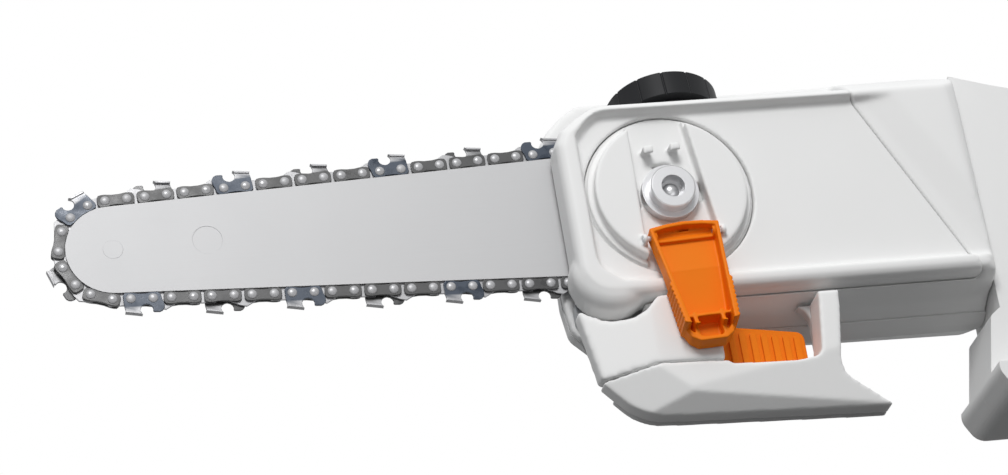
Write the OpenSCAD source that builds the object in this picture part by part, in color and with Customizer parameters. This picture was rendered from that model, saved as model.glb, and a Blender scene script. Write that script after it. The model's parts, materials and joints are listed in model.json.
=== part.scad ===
// Compact battery chainsaw with a flip-lever bar lock and a thumb-wheel chain tensioner.
// Frame: origin on the rear handle's flat foot in the bar's middle plane, bar nose towards
// -X, sprocket cover towards -Y, +Z up, in millimetres. The modules draw with the stud's axis and the
// bar's middle plane at zero, and placed() moves them into the frame.

/* [Chain] */
// Distance between every second rivet (twice the chain's pitch)
link_pitch = 18.64; // [18.2:0.02:19.2]
// Rivet spacing within one tie strap or cutter
strap_pitch = 10.28; // [9.8:0.02:10.8]
// Number of outer links round the loop, a multiple of four
link_count = 44; // [36:4:52]
// Drive link thickness, the chain's gauge
gauge = 1.1; // [1.0:0.1:1.3]
// Side plate thickness
plate_t = 1.1; // [1.0:0.1:1.3]
// Rivet shank radius
rivet_r = 1.6; // [1.4:0.1:1.8]

/* [Guide bar] */
// Radius of the rivets' path round the nose
nose_path_r = 25; // [24:0.1:27]
// Radius of the rivets' path over the bar's tail
tail_path_r = 35.8; // [34:0.1:37]
// Height of the rivets above the bar's rails
rail_drop = 3.1; // [3:0.1:3.4]
// Bar thickness over its rails
bar_t = 3.6; // [3.2:0.1:4]
// Depth of the groove that guides the drive links
groove_depth = 6.5; // [6.2:0.1:7.5]

/* [Drive] */
// Teeth on the drive sprocket
drive_teeth = 6; // [6:1:7]
// Distance from the bar stud to the motor shaft
drive_x = 79; // [77:0.5:81]
// Motor shaft radius
shaft_r = 4; // [3.5:0.5:5]
// Motor can radius
motor_r = 24; // [20:1:26]

/* [Sprocket cover] */
// Left edge of the cover, measured from the stud
cover_left = 51; // [49:0.5:54]
// Top edge of the cover above the stud
cover_top = 47.5; // [47:0.5:50]
// Bottom edge of the cover below the stud
cover_bottom = 52; // [50:0.5:54]
// How far the cover's rim stands in front of the bar's middle plane
cover_front = 24.5; // [24:0.5:27]
// Depth of the recessed panel below the rim
panel_depth = 5.5; // [4:0.5:7]
// Wall thickness of the moulded covers
wall = 2.6; // [2:0.2:3.2]

/* [Bar lock] */
// Radius of the lock knob's base disc
knob_r = 40.5; // [39:0.5:42]
// Radius of the bar stud
stud_r = 4; // [3.5:0.5:5]
// Outer radius of the steel lock nut's ring
nut_r = 10.8; // [10:0.2:12]
// Outward tilt of the opened lever
lever_tilt = 10; // [8:1:12]
// Length of the lever from its hinge to its tip
lever_reach = 58; // [52:1:60]
// Half the lever's width at its root
lever_root_w = 16.9; // [15:0.1:18]
// Half the lever's width at its tip
lever_tip_w = 12.3; // [10:0.1:14]
// Turn of the knob and its lever at rest, tip towards the handle
lock_rest = 3; // [0:0.5:6]

/* [Tensioner] */
// Radius of the thumb wheel
wheel_r = 27.5; // [25:0.5:29]
// Height of the thumb wheel's ribbed rim
wheel_h = 13; // [11:0.5:15]
// Backward tilt of the thumb wheel's axis
wheel_tilt = 12; // [9:1:15]
// Travel of the bar per radian of the thumb wheel
wheel_lead = 1.91; // [1.5:0.01:2.2]

/* [Body] */
// Height of the stud above the ground
stud_height = 114.8; // [113:0.1:117]
// Distance from the bar stud back to the origin on the rear foot
foot_x = 220; // [200:5:240]
// Far face of the body, measured from the bar's middle plane
body_back = 46; // [43:1:52]
// Plane where the two body shells meet
part_y = 9; // [8:0.5:10]
// Height of the body's top above the stud
body_top = 60.5; // [60:0.5:62]
// Rear end of the battery
battery_end = 358; // [345:1:370]
// Clearance between parts that seat on each other
gap = 0.3; // [0.2:0.05:0.5]

/* [Hidden] */

drive_link_pitch = link_pitch - strap_pitch;
drive_path_r = drive_teeth * link_pitch / 360 * 180 / PI;
chain_length = link_count * link_pitch;
nose_d = nose_distance(100, 600, 40);
nose_x = -nose_d;
nose_angle = asin((tail_path_r - nose_path_r) / nose_d);
drive_angle = asin((tail_path_r - drive_path_r) / drive_x);
nose_r = nose_path_r - rail_drop;
tail_r = tail_path_r - rail_drop;
strap_y = gauge / 2 + 0.06;
chain_half = strap_y + plate_t;

// ---------- the chain's path: circles at the nose, the bar's tail and the drive sprocket ----------

function arc_len(r, deg) = r * deg * PI / 180;
function run_len(d, ra, rb) = sqrt(d * d - (ra - rb) * (ra - rb));
function loop_len(d) =
    let (a = asin((tail_path_r - nose_path_r) / d), b = asin((tail_path_r - drive_path_r) / drive_x))
    arc_len(nose_path_r, 180 - 2 * a) + 2 * run_len(d, tail_path_r, nose_path_r)
    + 2 * arc_len(tail_path_r, a + b) + 2 * run_len(drive_x, tail_path_r, drive_path_r)
    + arc_len(drive_path_r, 180 - 2 * b);
// Distance from stud to nose centre at which the whole number of links closes the loop
function nose_distance(lo, hi, n) =
    let (mid = (lo + hi) / 2)
    n == 0 ? mid : loop_len(mid) > chain_length ? nose_distance(lo, mid, n - 1)
                                                : nose_distance(mid, hi, n - 1);
// Stretches of the path: [length, centre x, radius, start angle, end angle] for an arc,
// and a straight run has the same circle fields for its start and the next arc's for its end
PATH = [
    [arc_len(nose_path_r, 180 - 2 * nose_angle), nose_x, nose_path_r, 90 + nose_angle, 270 - nose_angle],
    [run_len(nose_d, tail_path_r, nose_path_r)],
    [arc_len(tail_path_r, nose_angle + drive_angle), 0, tail_path_r, 270 - nose_angle, 270 + drive_angle],
    [run_len(drive_x, tail_path_r, drive_path_r)],
    [arc_len(drive_path_r, 180 - 2 * drive_angle), drive_x, drive_path_r, 270 + drive_angle,
     450 - drive_angle],
    [run_len(drive_x, tail_path_r, drive_path_r)],
    [arc_len(tail_path_r, nose_angle + drive_angle), 0, tail_path_r, 90 - drive_angle, 90 + nose_angle],
    [run_len(nose_d, tail_path_r, nose_path_r)]
];
function on_circle(seg, deg) = [seg[1] + seg[2] * cos(deg), seg[2] * sin(deg)];
function path_at(s, k = 0) =
    let (seg = PATH[k], t = s / seg[0])
    s > seg[0] && k < len(PATH) - 1 ? path_at(s - seg[0], k + 1)
    : len(seg) > 1 ? on_circle(seg, seg[3] + (seg[4] - seg[3]) * t)
    : let (a = PATH[k - 1], b = PATH[(k + 1) % len(PATH)])
      on_circle(a, a[4]) * (1 - t) + on_circle(b, b[3]) * t;
function path_point(s) = path_at((s + 2 * chain_length) % chain_length);
// Position along the path of an outer link's trailing rivet
function link_start(j) = drive_link_pitch + j * link_pitch;
// Angle on the drive sprocket of the first outer link's middle that lies fully on it
drive_arc_start = PATH[0][0] + PATH[1][0] + PATH[2][0] + PATH[3][0];
first_driven = ceil((drive_arc_start - link_start(0) - strap_pitch / 2) / link_pitch);
drive_phase = 270 + drive_angle
    + (link_start(first_driven) + strap_pitch / 2 - drive_arc_start) / drive_path_r * 180 / PI;

// ---------- helpers ----------

module placed() { translate([-foot_x, 0, stud_height]) children(); }

function unit(v) = v / norm(v);
// Arc that rounds the corner p between a and b with radius r
function corner(a, p, b, r, n) =
    let (u = unit(a - p), w = unit(b - p), half = acos(u * w) / 2, c = p + unit(u + w) * (r / sin(half)),
         s = p + u * r / tan(half) - c, e = p + w * r / tan(half) - c,
         a0 = atan2(s[1], s[0]), d = (atan2(e[1], e[0]) - a0 + 540) % 360 - 180)
    [for (i = [0:n]) c + r * [cos(a0 + d * i / n), sin(a0 + d * i / n)]];
// Outline from corners [x, y, radius]
function rounded(v, n = 6) =
    [for (i = [0:len(v) - 1])
        let (k = len(v), a = v[(i + k - 1) % k], p = v[i], b = v[(i + 1) % k])
        each p[2] > 0 ? corner([a[0], a[1]], [p[0], p[1]], [b[0], b[1]], p[2], n) : [[p[0], p[1]]]];

// Extrudes an outline drawn in X and Z along Y, from y0 to y1
module side(y0, y1) {
    translate([0, y1, 0]) rotate([90, 0, 0]) linear_extrude(y1 - y0) children();
}
// Cylinder along Y from y0 to y1
module rod(x, z, r, y0, y1, fn = 48) {
    translate([x, y1, z]) rotate([90, 0, 0]) cylinder(r = r, h = y1 - y0, $fn = fn);
}
module block(x0, x1, y0, y1, z0, z1) {
    translate([x0, y0, z0]) cube([x1 - x0, y1 - y0, z1 - z0]);
}
// Coil spring along +Z: rings joined by short posts on alternate sides
module coil(turns, pitch, r) {
    for (i = [0:turns - 1]) translate([0, 0, i * pitch]) {
        difference() {
            cylinder(r = r, h = 0.8, $fn = 24);
            translate([0, 0, -1]) cylinder(r = r - 0.8, h = 3, $fn = 24);
        }
        if (i < turns - 1) rotate(180 * (i % 2)) translate([r - 0.7, -0.4, 0.4]) cube([0.6, 0.8, pitch]);
    }
}
// Places a link drawn along +X between the two rivets at s and s + span
module on_path(s, span) {
    a = path_point(s);
    b = path_point(s + span);
    translate([(a[0] + b[0]) / 2, 0, (a[1] + b[1]) / 2])
        rotate([0, 180 - atan2(b[1] - a[1], b[0] - a[0]), 0]) children();
}

// ---------- bar and chain ----------

bar_half = bar_t / 2;
core_half = gauge / 2 + 0.12;
slot_half = 9;
peg_r = 3;
peg_x = -24;
peg_z = 17;
tail_end = 30;

function bar_outline(inset) =
    let (n = nose_r - inset, t = tail_r - inset)
    concat(
        [for (i = [0:24]) let (a = 90 + nose_angle + (180 - 2 * nose_angle) * i / 24)
            [nose_x + n * cos(a), n * sin(a)]],
        [for (i = [0:8]) let (a = 270 - nose_angle + 34 * i / 8) [t * cos(a), t * sin(a)]],
        [[tail_end - inset, -12], [tail_end - inset, 12]],
        [for (i = [0:8]) let (a = 56 + nose_angle + 34 * i / 8) [t * cos(a), t * sin(a)]]);

module guide_bar() {
    color("gainsboro") difference() {
        union() {
            for (m = [-1, 1]) side(m > 0 ? core_half : -bar_half, m > 0 ? bar_half : -core_half)
                polygon(bar_outline(0));
            side(-core_half, core_half) difference() {
                polygon(bar_outline(groove_depth));
                translate([nose_x, 0]) circle(r = nose_r + 2, $fn = 96);
            }
        }
        hull() for (m = [-1, 1]) rod(m * slot_half, 0, stud_r + 0.25, -bar_t, bar_t, 32);
        rod(peg_x, peg_z, peg_r + 0.1, -bar_t, bar_t);
        rod(peg_x, -peg_z, peg_r + 0.1, -bar_t, bar_t);
        rod(nose_x, 0, 3.05, -bar_t, bar_t);
        for (m = [-1, 1]) rod(nose_x + 44, 1.4, 7, m > 0 ? bar_half - 0.12 : -bar_half - 1,
            m > 0 ? bar_half + 1 : -bar_half + 0.12);
    }
}

nose_teeth = 9;
module nose_sprocket() {
    color("silver") side(-gauge / 2, gauge / 2) difference() {
        union() {
            circle(r = nose_r - 9, $fn = 64);
            for (i = [0:nose_teeth - 1]) rotate(i * 360 / nose_teeth + 20)
                translate([nose_r - 12, -1.6]) square([5.8, 3.2]);
        }
        circle(r = 4.1, $fn = 48);
    }
}
module place_nose() { translate([nose_x, 0, 0]) children(); }

module nose_bearing() {
    color("dimgray") {
        difference() {
            rod(nose_x, 0, 4.05, -core_half + 0.02, core_half - 0.02);
            rod(nose_x, 0, 3.02, -bar_t, bar_t);
        }
        rod(nose_x, 0, 3, -bar_half, bar_half);
    }
}

strap_len = strap_pitch / 2 + 3.3;
module rivet_holes() {
    for (m = [-1, 1]) translate([m * strap_pitch / 2, 0]) circle(r = rivet_r + 0.12, $fn = 24);
}
// Tie strap: chamfered ends, and an underside arched to ride over the nose and the tail
strap_shape = [
    [-strap_len, -1.6], [-strap_len + 1.3, -rail_drop + 0.05], [-5, -rail_drop + 0.05],
    [-3.2, -rail_drop + 0.42], [-1.4, -rail_drop + 0.75], [1.4, -rail_drop + 0.75],
    [3.2, -rail_drop + 0.42], [5, -rail_drop + 0.05], [strap_len - 1.3, -rail_drop + 0.05],
    [strap_len, -1.6], [strap_len, 2], [strap_len - 1.2, 3.3], [1.8, 3.3], [0, 3], [-1.8, 3.3], [-strap_len + 1.2, 3.3], [-strap_len, 2]
];
module strap_plate(side_y) {
    y0 = side_y > 0 ? strap_y : -strap_y - plate_t;
    side(y0, y0 + plate_t) difference() {
        polygon(strap_shape);
        rivet_holes();
    }
}
module tie_straps() {
    color("dimgray") for (j = [0:link_count - 1]) on_path(link_start(j), strap_pitch) {
        if (j % 4 != 0) strap_plate(-1);
        if (j % 4 != 2) strap_plate(1);
    }
}

// Cutter: a link travels towards its -X. A hooked depth gauge leads, then the round gullet,
// then the side plate whose top is folded over the chain
function turned(points) = [for (i = [len(points) - 1:-1:0]) [-points[i][0], points[i][1]]];
cutter_tail = 8.6;
cutter_high = 8.1;
cutter_shape = turned(concat(
    [[-strap_len, -1.6], [-strap_len + 1.3, -rail_drop + 0.05], [-5, -rail_drop + 0.05],
     [-3.2, -rail_drop + 0.42], [-1.4, -rail_drop + 0.68], [1.4, -rail_drop + 0.68],
     [3.2, -rail_drop + 0.42], [5, -rail_drop + 0.05], [strap_len - 1.3, -rail_drop + 0.05],
     [strap_len - 0.2, -0.8], [strap_len - 0.6, 1.2], [9.8, 2.6], [10, 4.2], [9.2, 5.6], [7.6, 6.5],
     [6, 6.7]],
    [for (i = [0:8]) let (a = 20 - 25 * i) [2.6 + 3.1 * cos(a), 4.6 + 2.6 * sin(a)]],
    [[0.4, cutter_high - 0.5], [0.9, cutter_high], [-cutter_tail + 1, cutter_high - 0.9],
     [-cutter_tail - 0.4, 3]]));
module cutter(m) {
    y0 = m > 0 ? strap_y : -strap_y - plate_t;
    top_y = m > 0 ? -0.7 : -chain_half - 0.5;
    side(y0, y0 + plate_t) difference() {
        polygon(cutter_shape);
        rivet_holes();
    }
    side(top_y, top_y + chain_half + 1.2) polygon(turned([
        [1.3, cutter_high + 0.15], [0.6, cutter_high - 1.1], [-cutter_tail + 1.2, cutter_high - 1.9],
        [-cutter_tail + 0.6, cutter_high - 0.8]]));
}
module cutters_near() {
    color("slategray") for (j = [0:4:link_count - 1]) on_path(link_start(j), strap_pitch) cutter(-1);
}
module cutters_far() {
    color("gray") for (j = [2:4:link_count - 1]) on_path(link_start(j), strap_pitch) cutter(1);
}

// Drive link: the tang runs in the bar's groove, and every second one has a guard hump
module drive_link(hump) {
    h = drive_link_pitch / 2;
    side(-gauge / 2, gauge / 2) difference() {
        polygon([
            [-h - 2.9, -1.8], [-h - 0.6, -rail_drop + 0.1], [-3.4, -5.4], [-0.9, -rail_drop - 5.6],
            [1.2, -rail_drop - 5.6], [2.2, -rail_drop - 2.6], [h + 0.6, -rail_drop + 0.1],
            [h + 2.9, -1.8], [h + 2.9, 1.6], [h + 1.4, 3], [1.5, hump ? 4.8 : 2.9],
            [-1.5, hump ? 5.4 : 2.9], [-h - 1.4, 3], [-h - 2.9, 1.6]]);
        for (m = [-1, 1]) translate([m * h, 0]) circle(r = rivet_r + 0.12, $fn = 24);
    }
}
module drive_links() {
    color("lightgray") for (j = [0:link_count - 1])
        on_path(link_start(j) + strap_pitch, drive_link_pitch) drive_link(j % 2 == 0);
}

module chain_rivets() {
    color("silver") for (j = [0:link_count - 1], s = [0, strap_pitch]) {
        p = path_point(link_start(j) + s);
        rod(p[0], p[1], rivet_r, -chain_half, chain_half, 24);
        for (m = [-1, 1]) translate([p[0], m * chain_half, p[1]]) rotate([-90 * m, 0, 0])
            cylinder(r1 = 2.3, r2 = 1.3, h = 0.7, $fn = 24);
    }
}

// ---------- drive ----------

motor_front = part_y + gap;
motor_back = 42;
bearing_r = 9;
module drive_sprocket() {
    color("darkgray") difference() {
        union() {
            side(-0.5, 0.5) translate([drive_x, 0]) for (i = [0:drive_teeth - 1])
                rotate(drive_phase + i * 360 / drive_teeth) translate([0, -2]) square([16, 4]);
            for (m = [-1, 1]) rod(drive_x, 0, drive_path_r - 4.3, m > 0 ? 0.75 : -2.8, m > 0 ? 2.8 : -0.75);
            rod(drive_x, 0, 8.5, -0.8, 0.8);
        }
        rod(drive_x, 0, shaft_r + 0.02, -5, 5);
    }
}
module sprocket_clip() {
    color("darkslategray") side(-3.75, -2.95) difference() {
        translate([drive_x, 0]) circle(r = shaft_r + 3, $fn = 32);
        translate([drive_x, 0]) circle(r = shaft_r - 0.78, $fn = 32);
        translate([drive_x - 1.6, -shaft_r - 4]) square([3.2, shaft_r + 4]);
    }
}
module motor_shaft() {
    color("silver") difference() {
        rod(drive_x, 0, shaft_r, -6, motor_back - 1.5);
        difference() {
            rod(drive_x, 0, shaft_r + 1, -3.85, -2.85);
            rod(drive_x, 0, shaft_r - 0.8, -4, -2.7);
        }
    }
}
module motor_rotor() {
    color("dimgray") difference() {
        rod(drive_x, 0, motor_r - 8, motor_front + 8, motor_back - 8);
        rod(drive_x, 0, shaft_r + 0.02, 0, motor_back);
    }
}
module motor_can() {
    color("darkgray") difference() {
        rod(drive_x, 0, motor_r, motor_front, motor_back, 96);
        rod(drive_x, 0, motor_r - 7.4, motor_front + 7, motor_back - 7, 96);
        rod(drive_x, 0, bearing_r + 0.02, motor_front - 1, motor_front + 5);
        rod(drive_x, 0, bearing_r + 0.02, motor_back - 5, motor_back + 1);
        rod(drive_x, 0, shaft_r + 1, motor_front - 1, motor_back + 1);
    }
}
module shaft_bearings() {
    color("silver") for (y = [motor_front, motor_back - 5]) difference() {
        rod(drive_x, 0, bearing_r, y, y + 5);
        rod(drive_x, 0, shaft_r + 0.02, y - 1, y + 6);
    }
}

// ---------- sprocket cover ----------

seam_top_x = 96;
seam_knee = [98.5, 39.5];
seam_bottom_x = 144.5;
// Cover outline with its left, top and bottom moved in by i and its rear edge by k
function cover_outline(i, k) = rounded([
    [-cover_left + i, 28 - 0.4 * i, 2], [-cover_left + 3 + i, 35 - 0.7 * i, 3],
    [-40 + 0.7 * i, 41.3 - i, 4], [-32 + 0.4 * i, 46 - i, 3], [-25, cover_top - i, 3],
    [seam_top_x - k, cover_top - i, 0], [seam_knee[0] - k, seam_knee[1] - k / 2, 0],
    [seam_bottom_x - k - i / 2, -cover_bottom + i, 0],
    [-cover_left + i, -cover_bottom + i, 16 - i]], 5);
// Recess edge on the rim, moved in by i; it runs out to the rear over the seam
function recess(i, rear) = rounded([
    [-42 + i, 31.7 - 0.5 * i, 2], [-35.5 + 0.6 * i, 39.2 - 0.9 * i, 3],
    [-29.8 + 0.4 * i, 43.2 - i, 3], [-24, 43.7 - i, 0], [rear, 43.7 - i, 0],
    [rear + 50 - i, -45.2 + i, 0], [-18, -45.2 + i, 0], [-31 + 0.3 * i, -44.6 + i, 8],
    [-41 + 0.8 * i, -36.5 + 0.6 * i, 8], [-42 + i, -28, 4]], 4);
// Soft bulge at the cover's lower left
bulb_x = -34;
bulb_z = -38;
bulb_r = 19;
module bulb() {
    edge = 8;
    translate([bulb_x, cover_back, bulb_z]) rotate([90, 0, 0]) rotate_extrude($fn = 72)
        polygon(concat([[0, 0], [bulb_r, 0]], [for (a = [0:15:90])
            [bulb_r - edge + edge * cos(a), cover_front + cover_back - 0.4 - edge + edge * sin(a)]],
            [[0, cover_front + cover_back - 0.4]]));
}
knob_pocket_y = -12.6;
cover_back = -4;
panel_y = -cover_front + panel_depth;
module cover_slab(i, y) { side(y, y + 0.02) polygon(cover_outline(i, 0)); }
module sprocket_cover() {
    color("whitesmoke") difference() {
        union() {
            side(-cover_front + 4.5, cover_back) polygon(cover_outline(0, 0));
            intersection() {
                hull() {
                    cover_slab(0, -cover_front + 4.5);
                    cover_slab(1.1, -cover_front + 1.5);
                    cover_slab(3.4, -cover_front);
                }
                side(-cover_front - 1, 0) polygon(cover_outline(0, 0));
            }
            bulb();
        }
        // recessed panel with sloping walls, open to the rear
        hull() {
            side(-cover_front - 0.5, -cover_front - 0.48) polygon(recess(0, 150));
            side(panel_y - 0.02, panel_y) polygon(recess(2.3, 150));
        }
        // hollow that the chain and the drive sprocket run in
        difference() {
            side(-16, 0) polygon(cover_outline(wall, wall));
            rod(0, 0, knob_r + 3.6, knob_pocket_y - 20, knob_pocket_y + wall, 96);
            rod(0, 0, 15, -20, -bar_half - 0.1);
        }
        // round pocket for the lock knob, with its nut's seat in the middle
        rod(0, 0, knob_r + 0.3, -cover_front - 1, knob_pocket_y, 96);
        rod(0, 0, stud_r + 0.6, -cover_front, 1);
        at_wheel() translate([0, 0, -wheel_h - 1.6]) cylinder(r = wheel_r + 0.8, h = 30, $fn = 96);
        // slot where the bar and the chain leave
        block(-cover_left - 1, -cover_left + wall + 1, -5.2, 0, -46, 45);
    }
}

// ---------- bar lock ----------

nut_front = -cover_front - 3.6;
nut_seat = knob_pocket_y - 0.05;
floor_y = -17;
hinge_z = -24.5;
hinge_y = -cover_front - 1.5;
hinge_r = 1.3;
module bar_stud() {
    color("silver") {
        rod(0, 0, stud_r, nut_front + 6.2, part_y + 12);
        translate([0, nut_front + 6.2, 0]) rotate([90, 0, 0]) intersection() {
            translate([0, 0, -2.2]) sphere(r = stud_r + 0.53, $fn = 48);
            cylinder(r = stud_r, h = 3, $fn = 48);
        }
        rod(0, 0, stud_r + 4, part_y, part_y + 4);
    }
}
module lock_nut() {
    color("gainsboro") difference() {
        union() {
            rod(0, 0, nut_r, nut_front + 0.6, nut_seat, 72);
            translate([0, nut_front + 0.6, 0]) rotate([90, 0, 0])
                cylinder(r1 = nut_r, r2 = nut_r - 0.6, h = 0.6, $fn = 72);
            rod(0, 0, nut_r + 2.9, -22, floor_y - 0.02, 72);
        }
        rod(0, 0, stud_r + 0.05, nut_front - 1, 0);
        rod(0, 0, 5.6, nut_front - 1, nut_front + 6.5);
    }
}
// The channel narrows towards the top, as the folded lever does
channel_root_w = lever_root_w + 0.8;
channel_tip_w = lever_tip_w + 1.2;
hinge_ear = 2.6;
module at_lock() { rotate([0, -lock_rest, 0]) children(); }
module lock_knob() {
    color("white") at_lock() difference() {
        union() {
            rod(0, 0, knob_r, floor_y, nut_seat, 120);
            rod(0, 0, knob_r - 1.2, floor_y - 2, floor_y, 120);
            rod(0, 0, knob_r - 4, -cover_front + 0.02, floor_y, 120);
            // ears that hold the hinge pin
            for (m = [-1, 1]) translate([m * (channel_root_w + hinge_ear / 2), 0, 0]) {
                translate([-hinge_ear / 2, hinge_y, hinge_z]) rotate([0, 90, 0])
                    cylinder(r = hinge_r + 1.1, h = hinge_ear, $fn = 32);
            }
        }
        // channel for the folded lever, cut straight across the knob
        side(-cover_front - 2, floor_y) polygon([
            [-channel_root_w, -knob_r - 1], [channel_root_w, -knob_r - 1],
            [channel_root_w, hinge_z + 5], [channel_tip_w, knob_r + 1], [-channel_tip_w, knob_r + 1],
            [-channel_root_w, hinge_z + 5]]);
        rod(0, 0, nut_r + 0.02, -30, 0, 72);
        rod(0, 0, nut_r + 3, -22.5, floor_y, 72);
        // arc slots round the nut
        for (a = [0, 90, 180]) rotate([0, -a, 0]) rotate([90, 0, 0]) translate([0, 0, 10])
            rotate([0, 0, -17]) rotate_extrude(angle = 34, $fn = 64) translate([14.6, 0]) square([2.4, 10]);
        // hinge pin's holes in the two wedges
        translate([-channel_root_w - hinge_ear - 1, hinge_y, hinge_z]) rotate([0, 90, 0])
            cylinder(r = hinge_r + 0.01, h = 2 * (channel_root_w + hinge_ear + 1), $fn = 32);
    }
    // two snap hooks that hold the folded lever
    color("white") at_lock() for (m = [-1, 1]) {
        block(m * 6.6 - 2.4, m * 6.6 + 2.4, -25, floor_y, 21.8, 23.6);
        block(m * 6.6 - 2.4, m * 6.6 + 2.4, -25, -23.2, 19.8, 21.8);
    }
}
// Two stub pins, one through each ear into the lever's side wall
module lever_pin() {
    color("silver") at_lock() for (x = [-channel_root_w - hinge_ear, lever_root_w - 3.4])
        translate([x, hinge_y, hinge_z]) rotate([0, 90, 0])
            cylinder(r = hinge_r, h = channel_root_w + hinge_ear - lever_root_w + 3.4, $fn = 32);
}

// Lever: drawn flat along -Z from its hinge, with its open side towards -Y, then tilted outwards
root_over = 4.3;
tray_front = 4;
tray_wall = 2;
function lever_outline(i, tip) = [
    [-lever_root_w + i, root_over - 1.2 - i], [-9, root_over - i], [0, root_over + 0.7 - i],
    [9, root_over - i], [lever_root_w - i, root_over - 1.2 - i],
    [lever_tip_w - i, -lever_reach + tip + 8], [lever_tip_w - 2.2 - i, -lever_reach + tip + 3.6 + i],
    [lever_tip_w - 6 - i, -lever_reach + tip + 1 + i], [-lever_tip_w + 6 + i, -lever_reach + tip + 1 + i],
    [-lever_tip_w + 2.2 + i, -lever_reach + tip + 3.6 + i], [-lever_tip_w + i, -lever_reach + tip + 8]];
// The lever's back lies parallel to the cover, so that the tray is deeper at its tip
module lever_back(lift) {
    function back_y(s) = (s * sin(lever_tilt) - hinge_y - cover_front - 0.9) / cos(lever_tilt) - lift;
    rotate([90, 0, 90]) translate([0, 0, -30]) linear_extrude(60) polygon([
        [-30, 20], [-30, -80], [back_y(80), -80], [back_y(18.7), -18.7], [3.8 - lift, -18.6],
        [3.8 - lift, 20]]);
}
module at_lever() {
    translate([0, hinge_y, hinge_z]) rotate([-lever_tilt, 0, 0]) children();
}
module lock_lever() {
    color("darkorange") at_lock() at_lever() difference() {
        union() {
            intersection() {
                difference() {
                    side(-tray_front, 30) polygon(lever_outline(0, 0));
                    intersection() {
                        side(-tray_front - 1, 30) polygon(lever_outline(tray_wall, 0));
                        lever_back(1.5);
                    }
                }
                lever_back(0);
            }
            // hinge bosses, cross wall, ledge and the two snap tabs
            for (x = [-lever_root_w + 0.5, lever_root_w - 3.5]) translate([x, 0, 0])
                rotate([0, 90, 0]) cylinder(r = 2.9, h = 3, $fn = 40);
            intersection() {
                union() {
                    block(-lever_tip_w - 1, lever_tip_w + 1, -0.2, 20, -45.6, -44);
                    for (m = [-1, 1]) translate([m * 6.6 - 1, 0, 0]) rotate([90, 0, 90])
                        linear_extrude(2) polygon([[20, -43], [-0.2, -43], [-0.2, -48.6], [-1.8, -49.4],
                            [-3.2, -51.5], [-3.4, -54], [-2, -56.3], [20, -56.3]]);
                    block(-lever_root_w + 1, lever_root_w - 1, 0.2, 20, -3, 2);
                }
                lever_back(0.5);
            }
            // grip ribs down both sides
            for (m = [-1, 1], i = [0:8]) {
                z = -29 - 2.5 * i;
                w = lever_root_w + (lever_tip_w - lever_root_w) * (-z + 2) / (lever_reach - 6);
                intersection() {
                    translate([m * w, 0, z]) rotate([90, 0, 0]) cylinder(r = 1.1, h = 40, center = true,
                        $fn = 16);
                    lever_back(0);
                    side(-tray_front, 30) polygon([[-30, 0], [30, 0], [30, -60], [-30, -60]]);
                }
            }
        }
        translate([-30, 0, 0]) rotate([0, 90, 0]) cylinder(r = hinge_r + 0.05, h = 60, $fn = 32);
        // low tip, so that a finger can get under the tray's end
        block(-20, 20, -tray_front - 1, 2.5, -lever_reach - 5, -lever_reach + 7.5);
    }
}

// ---------- tensioner ----------

wheel_x = 11;
wheel_y = 7;
wheel_z = 58;
axle_r = 4;
module at_wheel() {
    translate([wheel_x, wheel_y, wheel_z]) rotate([-wheel_tilt, 0, 0]) children();
}
spiral_r = 15;
follower_y = 6.9;
// Groove in the wheel's underside, traced by the follower pin as the wheel turns over it
function spiral(off) = [for (i = [0:48])
    let (t = -70 + i * 262 / 48, p = [-spiral_r + wheel_lead * t * PI / 180, follower_y],
         r = norm(p) + off, a = atan2(p[1], p[0]) - t) [r * cos(a), r * sin(a)]];
module tension_wheel() {
    color("black") at_wheel() difference() {
        union() {
            translate([0, 0, -wheel_h]) cylinder(r = wheel_r, h = wheel_h, $fn = 96);
            translate([0, 0, -wheel_h - 1]) cylinder(r = 22, h = 2, $fn = 96);
        }
        translate([0, 0, -wheel_h - 2]) cylinder(r = axle_r + 0.05, h = wheel_h + 3, $fn = 48);
        // thumb notches round the rim
        for (i = [0:13]) rotate(i * 360 / 14 + 4) translate([wheel_r + 0.1, 0, -wheel_h - 1])
            cylinder(r = 0.6, h = wheel_h + 2, $fn = 14);
        translate([0, 0, -wheel_h - 2]) linear_extrude(5)
            polygon(concat(spiral(-1.68), [for (i = [48:-1:0]) spiral(1.68)[i]]));
    }
}
module wheel_axle() {
    color("silver") at_wheel() {
        translate([0, 0, -wheel_h - 3.4]) cylinder(r = axle_r, h = wheel_h + 3.9, $fn = 48);
    }
}
follower_r = 1.5;
module tension_slider() {
    color("silver") {
        rod(peg_x, peg_z, peg_r, -bar_half, part_y + 1);
        side(part_y + 0.4, part_y + 2.4) polygon([
            [peg_x - 5, peg_z - 5], [peg_x + 5, peg_z - 5], [peg_x + 6, 30], [wheel_x - 11, 36],
            [wheel_x - 11, 42], [wheel_x - 19, 42], [peg_x - 5, 30]]);
        at_wheel() translate([-spiral_r, follower_y, -wheel_h - 3]) cylinder(r = follower_r, h = 4.5,
            $fn = 32);
    }
}

// ---------- body shells ----------

body_outline = rounded([
    [-52.6, 40.5, 8], [-47.6, 48, 12], [-39.5, 55.5, 14], [-31.5, body_top, 8], [152, body_top + 2, 12],
    [152, -67, 4], [-42, -67, 8], [-52, -57, 8], [-54, -42, 12]], 5);
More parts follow.
